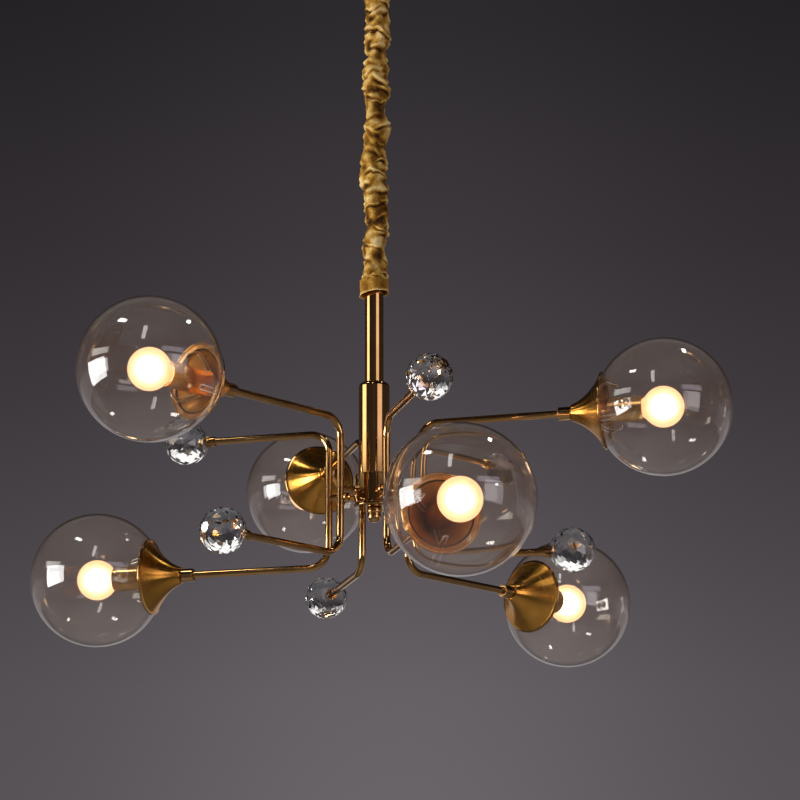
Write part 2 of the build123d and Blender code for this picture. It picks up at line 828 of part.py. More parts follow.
# Crystal: a larger ball cut down by rows of flat facets, with a flat table at each end of its axis
with BuildPart() as crystal:
    with Locations((crystal_reach, -crystal_drop, 0)):
        Sphere(crystal_diameter)
    facet_rows = [
        (crystal_equator_latitude, crystal_row_facets, 0),
        (crystal_middle_latitude, crystal_row_facets, 0.5),
        (crystal_shoulder_latitude, crystal_row_facets, 0),
        (90, 1, 0),
    ]
    for latitude, facets, stagger in facet_rows:
        for side in (-1, 1):
            for facet in range(facets):
                along = side * sin(radians(latitude))
                across = cos(radians(latitude))
                half_turned = 0.5 if side > 0 else 0
                turn = 2 * pi * (facet + stagger + half_turned) / facets
                normal = Vector(along, across * cos(turn), across * sin(turn))
                centre = Vector(crystal_reach, -crystal_drop, 0) + normal * crystal_radius
                split(bisect_by=Plane(centre, z_dir=normal), keep=Keep.BOTTOM)
    with BuildSketch(Plane.YZ.offset(crystal_back)):
        with Locations((-crystal_drop, 0)):
            Circle(cap_post_diameter / 2 + slip)
    extrude(amount=crystal_bore_depth, mode=Mode.SUBTRACT)
save_each(crystal, "crystal")

# Crystal cap: a post into the crystal, a scalloped flange and a socket for the arm's end
with BuildPart() as crystal_cap:
    with BuildSketch(Plane.YZ.offset(cap_flange_back)):
        with Locations((-crystal_drop, 0)):
            Circle(cap_lobe_circle / 2)
            with PolarLocations(cap_lobe_circle / 2, cap_lobes):
                Circle(cap_lobe_diameter / 2)
    extrude(amount=cap_flange_height)
    with BuildSketch(Plane.YZ.offset(crystal_back)):
        with Locations((-crystal_drop, 0)):
            Circle(cap_post_diameter / 2)
    extrude(amount=crystal_bore_depth - slip)
    with BuildSketch(Plane.YZ.offset(cap_collar_back)):
        with Locations((-crystal_drop, 0)):
            Circle(cap_collar_diameter / 2)
    extrude(amount=cap_collar_length)
    with BuildSketch(Plane.YZ.offset(cap_collar_back)):
        with Locations((-crystal_drop, 0)):
            Circle(arm_tube_radius + slip)
    extrude(amount=cap_tube_socket, mode=Mode.SUBTRACT)
save_group(crystal_cap, "crystal_caps")
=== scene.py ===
import json
from math import asin, cos, hypot, pi, radians, sin, sqrt

import bmesh
import bpy
import numpy as np
from mathutils import Matrix, Vector, noise


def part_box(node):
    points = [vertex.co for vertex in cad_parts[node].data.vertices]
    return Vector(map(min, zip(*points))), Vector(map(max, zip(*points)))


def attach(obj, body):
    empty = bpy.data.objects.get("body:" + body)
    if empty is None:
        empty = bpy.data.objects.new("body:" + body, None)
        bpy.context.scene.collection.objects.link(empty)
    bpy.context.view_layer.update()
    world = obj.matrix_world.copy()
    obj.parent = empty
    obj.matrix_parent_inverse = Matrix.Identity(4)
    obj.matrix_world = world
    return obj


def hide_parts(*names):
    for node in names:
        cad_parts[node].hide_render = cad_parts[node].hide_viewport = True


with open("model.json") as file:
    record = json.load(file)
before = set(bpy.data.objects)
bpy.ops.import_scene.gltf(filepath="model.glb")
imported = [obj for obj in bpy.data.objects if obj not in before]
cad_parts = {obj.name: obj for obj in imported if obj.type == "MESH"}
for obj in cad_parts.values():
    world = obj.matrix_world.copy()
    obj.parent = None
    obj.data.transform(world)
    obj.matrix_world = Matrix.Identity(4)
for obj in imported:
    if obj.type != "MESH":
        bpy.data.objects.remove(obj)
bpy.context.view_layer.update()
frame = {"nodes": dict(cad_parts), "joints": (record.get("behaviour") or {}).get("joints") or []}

nodes = frame["nodes"]
joints = {joint["name"]: joint for joint in frame["joints"]}
lamp_numbers = range(1, 7)

# Sizes in metres, repeated from the CAD model or worked out from its boxes

globe_radius = 0.075
globe_wall = 0.0016
globe_mouth_radius = 0.0365
cup_rim_radius = 0.04125
cup_bead = 0.00125
cup_wall = 0.0010
cup_depth = 0.0365
cup_neck_radius = 0.0085
cup_hole_radius = 0.0051
cup_flare_length = 0.020
cup_flare_radius = 0.0145
globe_gap = 0.0003
cup_rim_height = -sqrt((globe_radius + globe_gap + cup_bead) ** 2 - cup_rim_radius**2)
bulb_radius = 0.0225
bulb_neck_radius = 0.0083
bulb_neck_length = 0.028
bulb_collar_radius = 0.0086
bulb_collar_height = 0.0025
bulb_cap_radius = 0.0069
bulb_cap_length = 0.019
bulb_tip_radius = 0.003
bulb_tip_length = 0.004
bulb_wall = 0.0009
thread_turns = 6
thread_steps = 6
thread_depth = 0.0007
core_share = 0.56
core_stretch = 1.1
clip_count = 3
clip_width = 0.0050
clip_wire = 0.0008
clip_bend = 0.0022
clip_ring = 0.0095
clip_ring_steps = 48
clip_run = [
    (0.0095, -0.0824),
    (0.0152, -0.0824),
    (0.0295, -0.0680),
    (0.0316, -0.0630),
    (0.0262, -0.0490),
]
wide_steps = 128
bulb_steps = 64
narrow_steps = 48

sleeve_low, sleeve_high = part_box("velvet_sleeve")
top_link_low, top_link_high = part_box("chain_link_top")
stem_radius = (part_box("stem")[1].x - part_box("stem")[0].x) / 2

# Camera that the photograph was fitted with

photo_focal_pixels = 2374.2
photo_pixels = 800
sensor_millimetres = 36
camera_place = Vector((0.02646, -2.5479, -1.2607))
camera_pitch = radians(15.67)
camera_roll = radians(0.18)


# Mesh helpers


def new_piece(name, mesh_maker, smooth=True):
    """A mesh object in the scene, filled by mesh_maker(bm)."""
    mesh = bpy.data.meshes.new(name)
    bm = bmesh.new()
    mesh_maker(bm)
    bmesh.ops.recalc_face_normals(bm, faces=bm.faces)
    bm.to_mesh(mesh)
    bm.free()
    for polygon in mesh.polygons:
        polygon.use_smooth = smooth
    piece = bpy.data.objects.new(name, mesh)
    bpy.context.scene.collection.objects.link(piece)
    return piece


def lathe(profile, segments=96, closed=True):
    """Mesh maker: turns (radius, height) points round local Z. Points on the axis become one vertex."""

    def make(bm):
        rings = []
        for radius, height in profile:
            if radius < 1e-9:
                rings.append([bm.verts.new((0, 0, height))])
                continue
            turns = [2 * pi * step / segments for step in range(segments)]
            rings.append([bm.verts.new((radius * cos(t), radius * sin(t), height)) for t in turns])
        pairs = list(zip(rings, rings[1:]))
        if closed:
            pairs.append((rings[-1], rings[0]))
        for lower, upper in pairs:
            if len(lower) == 1 and len(upper) == 1:
                continue
            for step in range(segments):
                after = (step + 1) % segments
                corners = [
                    lower[step % len(lower)],
                    lower[after % len(lower)],
                    upper[after % len(upper)],
                    upper[step % len(upper)],
                ]
                face = []
                for corner in corners:
                    if corner not in face:
                        face.append(corner)
                bm.faces.new(face)

    return make


def arc(centre, radius, start, end, steps):
    """Points on an arc in the (radius, height) plane, angles in radians from the radius axis."""
    angles = [start + (end - start) * step / steps for step in range(steps + 1)]
    return [(centre[0] + radius * cos(a), centre[1] + radius * sin(a)) for a in angles]


def tube(bm, path, radius, sides=8):
    """Round wire along a path of places, with flat ends."""
    path = [Vector(place) for place in path]
    normal = (path[1] - path[0]).orthogonal()
    rings = []
    for before, here, after in zip(path[:1] + path, path, path[1:] + path[-1:]):
        along = (after - before).normalized()
        normal = (normal - normal.project(along)).normalized()
        across = along.cross(normal)
        turns = [2 * pi * step / sides for step in range(sides)]
        rings.append([bm.verts.new(here + radius * (cos(t) * normal + sin(t) * across)) for t in turns])
    for lower, upper in zip(rings, rings[1:]):
        for step in range(sides):
            after = (step + 1) % sides
            bm.faces.new((lower[step], lower[after], upper[after], upper[step]))
    bm.faces.new(rings[0])
    bm.faces.new(rings[-1])


def rounded(path, bend, steps=5):
    """A path with its corners rounded off."""
    smooth = [path[0]]
    for before, corner, after in zip(path, path[1:], path[2:]):
        ends = [corner + bend * (end - corner).normalized() for end in (before, after)]
        smooth += [Vector(place) for place in curve_points(ends[0], corner, ends[1], steps)]
    return smooth + [path[-1]]


def curve_points(start, pull, end, steps):
    """Points on a curve from start to end that leaves and arrives towards pull."""
    shares = [step / steps for step in range(steps + 1)]
    return [
        tuple((1 - s) ** 2 * a + 2 * s * (1 - s) * b + s * s * c for a, b, c in zip(start, pull, end))
        for s in shares
    ]


def globe_place(number):
    """Frame of one lamp: origin at the globe's centre, local Z outwards along its axis, local Y up."""
    joint = joints[f"bulb_{number}_turn"]
    outwards = Vector(joint["axis"]).normalized()
    up = Vector((0, 0, 1))
    across = up.cross(outwards)
    turn = Matrix((across, up, outwards)).transposed().to_4x4()
    return Matrix.Translation(Vector(joint["pos_m"])) @ turn


# Material helpers


class Nodes:
    """Short ways to make and join the nodes of one tree."""

    def __init__(self, tree):
        self.tree = tree

    def node(self, kind, **settings):
        """A node with its properties, or else its inputs, set by name."""
        made = self.tree.nodes.new(kind)
        for name, value in settings.items():
            if hasattr(made, name):
                setattr(made, name, value)
            else:
                made.inputs[name.replace("_", " ").title()].default_value = value
        return made

    def link(self, source, target):
        self.tree.links.new(source, target)

    def ramp(self, fac, stops):
        """Colours by position: stops is a list of (position, colour)."""
        made = self.node("ShaderNodeValToRGB")
        while len(made.color_ramp.elements) < len(stops):
            made.color_ramp.elements.new(0.5)
        for element, (position, colour) in zip(made.color_ramp.elements, stops):
            element.position = position
            element.color = (*colour, 1)
        self.link(fac, made.inputs["Fac"])
        return made.outputs["Color"]


class Material(Nodes):
    """A node material with one Principled shader."""

    def __init__(self, name):
        self.material = bpy.data.materials.new(name)
        self.material.use_nodes = True
        super().__init__(self.material.node_tree)
        self.shader = self.tree.nodes["Principled BSDF"]

    def set(self, **values):
        """Set constant inputs of the shader: base_color=... stands for its Base Color socket."""
        for name, value in values.items():
            label = name.replace("_", " ").title().replace("Ior", "IOR")
            self.shader.inputs[label].default_value = value
        return self

    def coordinates(self, stretch=(1, 1, 1)):
        """Object coordinates, scaled along each axis."""
        place = self.node("ShaderNodeTexCoord")
        scale = self.node("ShaderNodeMapping")
        scale.inputs["Scale"].default_value = stretch
        self.link(place.outputs["Object"], scale.inputs["Vector"])
        return scale.outputs["Vector"]

    def noise(self, scale, detail=4.0, roughness=0.55, stretch=(1, 1, 1)):
        made = self.node("ShaderNodeTexNoise", scale=scale, detail=detail, roughness=roughness)
        self.link(self.coordinates(stretch), made.inputs["Vector"])
        return made.outputs["Fac"]

    def spread(self, fac, low, high):
        """Map a noise value to a range."""
        made = self.node("ShaderNodeMapRange")
        made.inputs["From Min"].default_value = 0.3
        made.inputs["From Max"].default_value = 0.7
        made.inputs["To Min"].default_value = low
        made.inputs["To Max"].default_value = high
        self.link(fac, made.inputs["Value"])
        return made.outputs["Result"]

    def bump(self, height, strength, distance):
        made = self.node("ShaderNodeBump", strength=strength, distance=distance)
        self.link(height, made.inputs["Height"])
        self.link(made.outputs["Normal"], self.shader.inputs["Normal"])
        return made


def dress(material, *names):
    """Give CAD nodes a finish."""
    for name in names:
        slots = nodes[name].material_slots
        if not slots:
            nodes[name].data.materials.append(material)
        for slot in slots:
            slot.material = material


def add_piece(piece, body, material, slot, *replaced):
    """Dress a piece, let it ride on a body and stand for CAD nodes."""
    piece.data.materials.append(material)
    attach(piece, body)
    if replaced:
        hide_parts(*replaced)
    return piece


# Finishes


def polished_brass(name, roughness=(0.05, 0.09), stretch=(1, 1, 1), grain=900.0, tone=1.0):
    """Dark polished brass: faint tarnish clouds and a fine polishing grain."""
    made = Material(name).set(metallic=1.0)
    dark = tuple(tone * c for c in (0.50, 0.275, 0.095))
    light = tuple(tone * c for c in (0.66, 0.385, 0.15))
    clouds = made.noise(38.0, detail=5.0)
    made.link(made.ramp(clouds, [(0.3, dark), (0.7, light)]), made.shader.inputs["Base Color"])
    fine = made.noise(grain, detail=3.0, stretch=stretch)
    made.link(made.spread(fine, *roughness), made.shader.inputs["Roughness"])
    made.bump(fine, 0.012, 0.0002)
    return made.material


def spun_brass(name, roughness, dark, light):
    """Cups spun on a lathe: circular brush marks draw their highlights out into rays."""
    made = Material(name).set(metallic=1.0, anisotropic=0.85, anisotropic_rotation=0.25)
    tangent = made.node("ShaderNodeTangent", direction_type="RADIAL", axis="Z")
    made.link(tangent.outputs["Tangent"], made.shader.inputs["Tangent"])
    clouds = made.noise(45.0, detail=4.0)
    made.link(made.ramp(clouds, [(0.3, dark), (0.7, light)]), made.shader.inputs["Base Color"])
    marks = made.noise(90.0, detail=6.0, stretch=(0.3, 0.3, 40.0))
    made.link(made.spread(marks, *roughness), made.shader.inputs["Roughness"])
    made.bump(marks, 0.006, 0.0002)
    return made.material


def clear_glass(name, colour, ior, ripple=0.0, clear=1.0, painted_bulb_glow=0.0):
    """Clear glass, with a faint ripple and a faint warm painted glow, emission that stands for a lit
    bulb's light in the glass, where they are asked for.
    """
    made = Material(name).set(
        base_color=(*colour, 1),
        metallic=0.0,
        roughness=0.0,
        ior=ior,
        transmission_weight=clear,
        # The emission is a painted glow of the bulb's light: the glass is no lamp
        emission_color=(1.0, 0.43, 0.16, 1),
        emission_strength=painted_bulb_glow,
    )
    if ripple:
        made.bump(made.noise(14.0, detail=1.0), ripple, 0.002)
    return made.material


def plain(name, colour, roughness, speckle=0.06, scale=300.0, metallic=0.0):
    """Moulded plastic or plated steel with a little unevenness."""
    made = Material(name).set(metallic=metallic)
    spots = made.noise(scale, detail=3.0)
    low = tuple(c * (1 - speckle) for c in colour)
    high = tuple(min(1.0, c * (1 + speckle)) for c in colour)
    made.link(made.ramp(spots, [(0.3, low), (0.7, high)]), made.shader.inputs["Base Color"])
    made.link(made.spread(spots, roughness * 0.85, roughness * 1.15), made.shader.inputs["Roughness"])
    made.bump(spots, 0.05, 0.0003)
    return made.material


def gold_velvet():
    """Crushed velvet: a pale painted highlight along the tucks' lips and bulges, dark painted shade in
    the hollows, random crushed patches, and a sheen at grazing angles.
    """
    made = Material("gold_velvet").set(
        roughness=0.85,
        sheen_weight=0.9,
        sheen_roughness=0.35,
        sheen_tint=(1.0, 0.64, 0.24, 1),
        specular_ior_level=0.15,
    )
    # The vertex value carries painted light, painted highlight on bulges and painted shade in hollows,
    # mixed with random crushed tone
    nap_and_painted_light = made.node("ShaderNodeAttribute", attribute_name="nap_and_painted_light")
    patches = made.noise(420.0, detail=4.0, roughness=0.7)
    crushed = made.node("ShaderNodeMath", operation="MULTIPLY_ADD")
    made.link(patches, crushed.inputs[0])
    crushed.inputs[1].default_value = 0.8
    crushed.inputs[2].default_value = -0.40
    total = made.node("ShaderNodeMath", operation="ADD")
    made.link(nap_and_painted_light.outputs["Fac"], total.inputs[0])
    made.link(crushed.outputs["Value"], total.inputs[1])
    # The ramp turns that painted light into base colour, from painted shade to painted highlight
    made.link(
        made.ramp(
            total.outputs["Value"],
            [
                (0.0, (0.042, 0.012, 0.001)),
                (0.28, (0.24, 0.095, 0.007)),
                (0.48, (0.50, 0.25, 0.035)),
                (0.70, (0.82, 0.50, 0.13)),
                (0.92, (1.0, 0.74, 0.33)),
            ],
        ),
        made.shader.inputs["Base Color"],
    )
    pile = made.noise(2600.0, detail=2.0)
    made.bump(pile, 0.35, 0.0006)
    return made.material


def bulb_glass():
    """Warm frosted envelope of a lit bulb."""
    made = Material("bulb_glass").set(
        base_color=(1.0, 0.90, 0.78, 1),
        roughness=0.55,
        ior=1.35,
        transmission_weight=1.0,
        emission_color=(1.0, 0.56, 0.30, 1),
        emission_strength=0.30,
    )
    return made.material


def bulb_core():
    """The bright heart of a lit bulb."""
    made = Material("bulb_core").set(
        base_color=(1.0, 0.9, 0.7, 1),
        emission_color=(1.0, 0.82, 0.58, 1),
        emission_strength=5.0,
    )
    return made.material


tube_brass = polished_brass("tube_brass", stretch=(1, 1, 0.03))
turned_brass = polished_brass("turned_brass", roughness=(0.07, 0.12))
hub_brass = polished_brass("hub_brass", roughness=(0.05, 0.08), stretch=(1, 1, 0.03), tone=0.55)
arm_brass = polished_brass("arm_brass", roughness=(0.07, 0.12))
sleeve_brass = polished_brass("sleeve_brass", roughness=(0.18, 0.26), stretch=(1, 1, 0.2), tone=1.2)
chain_brass = polished_brass("chain_brass", roughness=(0.2, 0.3), tone=0.8)
cup_brass = spun_brass("spun_brass", (0.22, 0.28), (0.58, 0.265, 0.042), (0.76, 0.37, 0.075))
cup_lining = spun_brass("spun_brass_lining", (0.36, 0.46), (0.56, 0.235, 0.04), (0.70, 0.32, 0.07))
globe_glass = clear_glass("globe_glass", (1.0, 0.975, 0.94), 1.52, ripple=0.03, clear=0.992, painted_bulb_glow=0.004)
crystal_glass = clear_glass("crystal_glass", (0.985, 0.985, 0.98), 1.65)
warm_glass = bulb_glass()
glow = bulb_core()
velvet = gold_velvet()
zinc = plain("zinc", (0.55, 0.56, 0.57), 0.3, metallic=1.0)
white_plastic = plain("white_plastic", (0.8, 0.79, 0.75), 0.45)
ivory_plastic = plain("ivory_plastic", (0.76, 0.7, 0.58), 0.5)
clip_steel = plain("clip_steel", (0.88, 0.82, 0.70), 0.3, metallic=1.0)
cable_cover = plain("cable_cover", (0.62, 0.45, 0.16), 0.4)

dress(tube_brass, "stem", "body_tube")
dress(turned_brass, "finial", "arm_nipples", "cup_collars", "crystal_caps", "canopy_loop")
dress(hub_brass, "hub", "hub_cap")
dress(turned_brass, "canopy", "canopy_screws", "stem_loop")
dress(arm_brass, *(f"arm_{n}" for n in lamp_numbers))
dress(chain_brass, "chain_link_top", "chain_link_second", "chain")
dress(sleeve_brass, *(f"lamp_sleeve_{n}" for n in lamp_numbers))
dress(zinc, "mounting_bracket", "loop_nut")
dress(white_plastic, "terminal_block")
dress(ivory_plastic, "lamp_holders")
dress(cable_cover, "power_cable", "lamp_wires")


# Glass globes, cups and bulbs


def globe_profile():
    """Outer wall from the mouth to the far pole, and back along the inner wall to the mouth."""
    inner_radius = globe_radius - globe_wall
    start = asin(globe_mouth_radius / globe_radius) - pi / 2
    mouth_height = globe_radius * sin(start)
    inner_start = asin(mouth_height / inner_radius)
    outer = arc((0, 0), globe_radius, start, pi / 2, 60)[:-1] + [(0, globe_radius)]
    inner = [(0, inner_radius)] + arc((0, 0), inner_radius, pi / 2, inner_start, 60)[1:]
    return outer + inner


def cup_profile():
    """The trumpet's outer curve, its beaded rim and the inner curve back to the neck plate."""
    neck_height = cup_rim_height - cup_depth
    half = cup_wall / 2
    middle = curve_points(
        (cup_neck_radius, neck_height),
        (cup_flare_radius, neck_height + cup_flare_length),
        (cup_rim_radius, cup_rim_height),
        40,
    )
    sides = {1: [], -1: []}
    for before, here, after in zip(middle[:1] + middle, middle, middle[1:] + middle[-1:]):
        along = Vector((after[0] - before[0], after[1] - before[1])).normalized()
        for side in sides:
            sides[side].append((here[0] + side * along.y * half, here[1] - side * along.x * half))
    bead = arc((cup_rim_radius, cup_rim_height), cup_bead, radians(-60), radians(210), 16)
    outer = [(cup_hole_radius, neck_height)] + sides[1][1:-1]
    inner = sides[-1][-2:1:-1]
    plate = (cup_hole_radius, inner[-1][1])
    return outer + bead + inner + [plate]


def cup_finish(polygon):
    """Material of one face of a cup: 2 on the polished bead, 1 inside and 0 outside."""
    middle = polygon.center
    from_rim = hypot(hypot(middle.x, middle.y) - cup_rim_radius, middle.z - cup_rim_height)
    if from_rim < 1.1 * cup_bead:
        return 2
    return 1 if polygon.normal.x * middle.x + polygon.normal.y * middle.y < 0 else 0


def bulb_profile():
    """Round envelope that narrows to a neck, as a thin shell."""
    shoulder = radians(-48)
    ball = arc((0, 0), bulb_radius, pi / 2, shoulder, 30)
    neck = curve_points(
        ball[-1],
        (bulb_neck_radius, -bulb_radius),
        (bulb_neck_radius, -bulb_neck_length),
        12,
    )
    outer = [(0, bulb_radius)] + ball[1:] + neck[1:]
    inner = [(max(0.0, r - bulb_wall), h * (1 - bulb_wall / bulb_radius)) for r, h in reversed(outer)]
    return outer + inner


def cap_profile():
    """Screw cap: a collar, a rolled thread and the contact tip."""
    front = -bulb_neck_length
    seat = front - bulb_collar_height
    pitch = bulb_cap_length / thread_turns
    steps = thread_turns * thread_steps
    thread = []
    for step in range(steps):
        height = seat - bulb_cap_length * step / steps
        wave = 0.5 + 0.5 * cos(2 * pi * (height - seat) / pitch)
        thread.append((bulb_cap_radius - thread_depth + thread_depth * wave, height))
    back = seat - bulb_cap_length
    tip = [(bulb_tip_radius, back - bulb_tip_length), (0, back - bulb_tip_length)]
    return [(0, front), (bulb_collar_radius, front), (bulb_collar_radius, seat)] + thread + tip


def core_profile():
    """The glowing heart, a little longer than wide."""
    radius = core_share * bulb_radius
    side = arc((0, 0), radius, pi / 2, -pi / 2, 24)[1:-1]
    return [(r, h * core_stretch) for r, h in [(0, radius), *side, (0, -radius)]]


for n in lamp_numbers:
    place = globe_place(n)
    globe = new_piece(f"glass_globe_{n}", lathe(globe_profile(), wide_steps))
    cup = new_piece(f"trumpet_cup_{n}", lathe(cup_profile(), wide_steps))
    envelope = new_piece(f"bulb_envelope_{n}", lathe(bulb_profile(), bulb_steps))
    screw_cap = new_piece(f"bulb_cap_{n}", lathe(cap_profile(), narrow_steps, closed=False))
    core = new_piece(f"bulb_heart_{n}", lathe(core_profile(), narrow_steps, closed=False))
    globe.data.transform(place)
    for piece in (cup, envelope, screw_cap, core):
        piece.matrix_world = place
    add_piece(globe, f"globe_{n}", globe_glass, "clear_glass", f"globe_{n}")
    add_piece(cup, "pendant", cup_brass, "brushed_brass", f"cup_{n}")
    for finish in (cup_lining, turned_brass):
        cup.data.materials.append(finish)
    for polygon in cup.data.polygons:
        polygon.material_index = cup_finish(polygon)
    add_piece(envelope, f"bulb_{n}", warm_glass, "lamp_glass", f"bulb_{n}")
    add_piece(screw_cap, f"bulb_{n}", turned_brass, "brass")
    add_piece(core, f"bulb_{n}", glow, "lamp_glass")


# Crystal balls, cut in rows of triangles between a flat table and a flat seat with the pin's bore

crystal_radius = 0.0249
crystal_table = 0.0245
crystal_table_radius = 0.0055
crystal_latitudes = [62, 42, 21, 0, -21, -42, -62]
crystal_cuts = 12
crystal_bore_radius = 0.00405
crystal_bore_depth = 0.0120


def cut_ball(bm):
    """Faceted ball round local Z, with its table outwards."""
    rises = [radians(latitude) for latitude in crystal_latitudes]
    profile = [
        (crystal_table_radius, crystal_table),
        *((crystal_radius * cos(a), crystal_radius * sin(a)) for a in rises),
        (crystal_table_radius, -crystal_table),
        (crystal_bore_radius, -crystal_table),
        (crystal_bore_radius, crystal_bore_depth - crystal_table),
    ]
    rings = []
    for row, (radius, height) in enumerate(profile):
        shift = 0.5 * (row % 2)
        turns = [2 * pi * (step + shift) / crystal_cuts for step in range(crystal_cuts)]
        rings.append([bm.verts.new((radius * cos(t), radius * sin(t), height)) for t in turns])
    for row, (upper, lower) in enumerate(zip(rings, rings[1:])):
        for step in range(crystal_cuts):
            after = (step + 1) % crystal_cuts
            if row % 2 == 0:
                bm.faces.new((upper[step], lower[step], upper[after]))
                bm.faces.new((upper[after], lower[step], lower[after]))
            else:
                bm.faces.new((upper[step], lower[step], lower[after]))
                bm.faces.new((upper[step], lower[after], upper[after]))
    bm.faces.new(rings[0])
    bm.faces.new(rings[-1])


for n in lamp_numbers:
    low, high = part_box(f"crystal_{n}")
    ball = new_piece(f"cut_crystal_{n}", cut_ball, smooth=False)
    outwards = globe_place(n).to_3x3().to_4x4()
    ball.data.transform(Matrix.Translation((low + high) / 2) @ outwards)
    add_piece(ball, "pendant", crystal_glass, "crystal", f"crystal_{n}")


# Spring wire clips that hold each globe by its mouth


def clip_wires(bm):
    """Three hairpins in each cup, on a ring behind the lamp holder."""
    for n in lamp_numbers:
        place = globe_place(n)
        first = pi / 2 if n % 2 == 0 else -pi / 2
        turns = [2 * pi * step / clip_ring_steps for step in range(clip_ring_steps + 1)]
        ring = [Vector((clip_ring * cos(t), clip_ring * sin(t), clip_run[0][1])) for t in turns]
        tube(bm, [place @ spot for spot in ring], clip_wire)
        for clip in range(clip_count):
            turn = first + clip * 2 * pi / clip_count
            outwards = Vector((cos(turn), sin(turn), 0))
            across = Vector((-sin(turn), cos(turn), 0))
            run = [r * outwards + h * Vector((0, 0, 1)) for r, h in clip_run]
            legs = [[spot + side * clip_width / 2 * across for spot in run] for side in (1, -1)]
            hairpin = rounded(legs[0] + legs[1][::-1], clip_bend)
            tube(bm, [place @ spot for spot in hairpin], clip_wire)


globe_clips = new_piece("wire_clips", clip_wires)
add_piece(globe_clips, "pendant", clip_steel, "spring", "globe_clips")


# Gathered velvet sleeve

sleeve_turns = 220
sleeve_rows = 1100
sleeve_radius = 0.0131
sleeve_thickness = 0.0011
sleeve_lean = 0.0040
sway_reach = 0.0030
sway_depth_share = 0.7
puff_height = 0.0056
wrinkle_height = 0.0010
tuck_seed = 11
tuck_count = 74
tuck_turn = 2.4
tuck_turn_play = 0.6
tuck_depth = (0.0012, 0.0034)
tuck_width = (0.0012, 0.0030)
tuck_slant = 0.0060
tuck_bend = 0.0035
tuck_reach = (0.7, 1.7)
tuck_fade = 0.35
tuck_wander = 0.0050
lip_rise, lip_share = 1.9, 0.55
under_drop, under_share = 2.2, 0.25
cuff_height = 0.020
cuff_radius = 0.0163
cuff_tilt = 0.0022
cuff_waver = 0.16
cuff_ripple = 0.0005
cuff_blend = 0.86
frill_height = 0.0016
frill_width = 0.0022
frill_rise = 0.8
frill_strength, frill_waver = 0.8, 1.2
hem_height = 0.0005
hem_width = 0.0018
mouth_height = 0.030
mouth_radius = 0.0205
mouth_share = 0.8

# Room inside the cloth for the stem, the chain and the top link, which turns against the sleeve

stem_top = 0.030
stem_room = stem_radius + 0.0016
chain_room = 0.0096
link_room = max(top_link_high.x, top_link_high.y) + sleeve_thickness + sleeve_lean + 0.001
link_room_start = top_link_low.z - sleeve_low.z - 0.004
link_room_blend = 0.012

# Noise over the cloth: features per turn, features per metre, and an offset that sets it apart

puff_noise = (0.8, 42.0, 3.3)
wrinkle_noise = (1.6, 150.0, 7.7)
crushed_noise = (1.3, 75.0, 4.9)
wander_noise = (1.2, 55.0, 2.2)
waver_noise = (2.4, 60.0, 1.7)
sway_noise = (1.0, 17.0, 6.1)

# Painted light on the velvet, from painted shade to painted highlight, with random crushed tone: its
# middle value, and how much each feature adds

nap_and_light_middle = 0.42
# Tucks, puffs and wrinkles add painted light where the cloth sinks in or bulges out; crushed patches add
# random tone
tuck_painted_light, crushed_nap, puff_painted_light, wrinkle_painted_light = 0.55, 0.62, 0.25, 0.20
# Painted highlight on each tuck's lip and below it, painted shade in its hollow
lip_painted_highlight, under_painted_highlight, hollow_painted_shade = 1.05, 0.25, 0.9
# The cuff and its waver are tone; the frill and the hem add painted highlight on their bulges
cuff_nap, cuff_waver_nap, frill_painted_highlight, hem_painted_highlight = 0.40, 0.3, 0.42, 0.45


def smooth_step(low, high, value):
    """0 below low, 1 above high and a smooth rise between."""
    share = np.clip((value - low) / (high - low), 0.0, 1.0)
    return share * share * (3 - 2 * share)


def cloth_noise(turn, height, around, along, offset):
    """Smooth noise over the sleeve: features per turn and per metre."""
    values = [
        noise.noise((around * cos(t) + offset, around * sin(t), along * h))
        for t, h in zip(turn.ravel(), height.ravel())
    ]
    return np.array(values).reshape(turn.shape)


def tucks(turn, height, length):
    """Slanting tucks of many sizes: how far they draw the cloth in, and their painted light: painted
    shade in the hollows, painted highlight on the lips and below.
    """
    pick = np.random.default_rng(tuck_seed)
    wander = tuck_wander * cloth_noise(turn, height, *wander_noise)
    drawn_in = np.zeros_like(turn)
    nap_and_painted_light = np.zeros_like(turn)
    for tuck in range(tuck_count):
        middle = length * (tuck + pick.uniform(-0.5, 0.5)) / tuck_count
        depth = pick.uniform(*tuck_depth)
        width = pick.uniform(*tuck_width)
        play = pick.uniform(-tuck_turn_play, tuck_turn_play)
        away = (turn - tuck_turn * tuck - play + pi) % (2 * pi) - pi
        slant = pick.uniform(-tuck_slant, tuck_slant)
        bend = pick.uniform(-tuck_bend, tuck_bend)
        strength = 1 - smooth_step(tuck_fade, 1.0, np.abs(away) / pick.uniform(*tuck_reach))
        above = (height + wander - middle - slant * away - bend * away * away) / width
        hollow = np.exp(-above * above) * strength
        lip = np.exp(-((above - lip_rise) ** 2)) * strength
        under = np.exp(-((above + under_drop) ** 2) / 2) * strength
        drawn_in += depth * (hollow - lip_share * lip - under_share * under)
        # Painted shade in the hollow, painted highlight on the lip and below it
        nap_and_painted_light += depth / tuck_depth[1] * (lip_painted_highlight * lip + under_painted_highlight * under - hollow_painted_shade * hollow)
    return drawn_in, nap_and_painted_light


